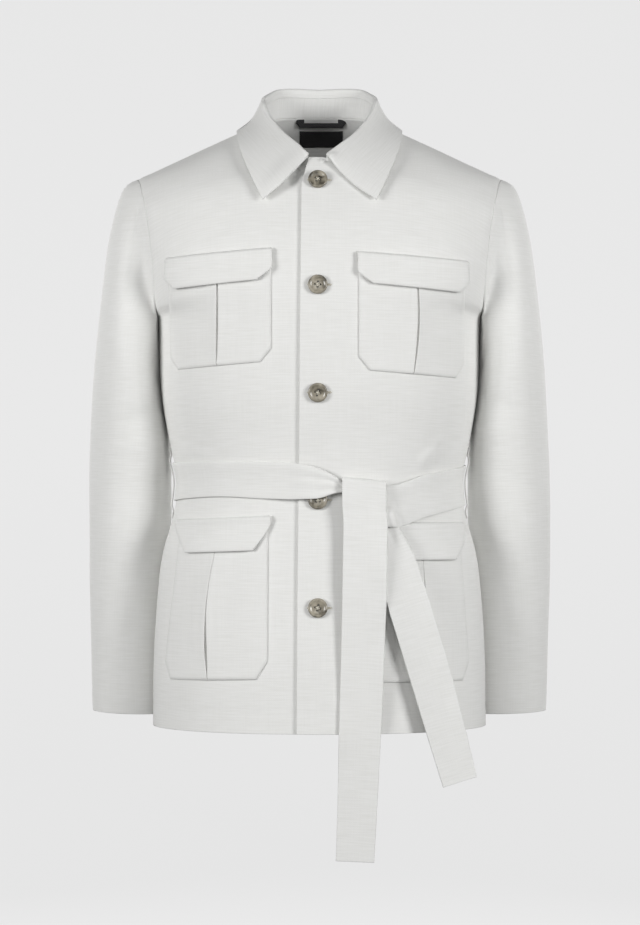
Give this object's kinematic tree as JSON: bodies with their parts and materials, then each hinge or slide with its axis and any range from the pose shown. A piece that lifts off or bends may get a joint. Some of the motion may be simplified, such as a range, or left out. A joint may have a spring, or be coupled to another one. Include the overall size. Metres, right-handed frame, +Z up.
{
  "type": "safari jacket",
  "caption": "Linen safari jacket filled out as worn, buttoned, with a folded collar, four flapped patch pockets and a tied cloth belt.",
  "frame": {"origin": "between the shoulders, at the height of the neck's side points, where the wearer's neck and shoulders carry the jacket", "axes": "the jacket faces -Y, its wearer's left is +X, up is +Z"},
  "size_m": [0.569, 0.2379, 0.9329],
  "materials": {
    "linen": "off-white plain-weave linen, matt, with faint slubs",
    "horn": "mottled grey-brown horn, satin polish",
    "tape": "black woven tape, matt, plain"
  },
  "bodies": {
    "root": {"back": "linen", "front_left": "linen", "front_right": "linen", "sleeve_left": "linen", "sleeve_right": "linen", "collar_stand": "linen", "collar": "linen", "chest_pocket_left": "linen", "chest_pocket_right": "linen", "chest_flap_left": "linen", "chest_flap_right": "linen", "hip_pocket_left": "linen", "hip_pocket_right": "linen", "hip_flap_left": "linen", "hip_flap_right": "linen", "belt": "linen", "belt_tail_front": "linen", "belt_tail_side": "linen", "belt_loop_left": "linen", "belt_loop_right": "linen", "button_1": "horn", "button_2": "horn", "button_3": "horn", "button_4": "horn", "button_5": "horn", "hanger_loop": "tape", "neck_label": "tape"}
  },
  "joints": []
}
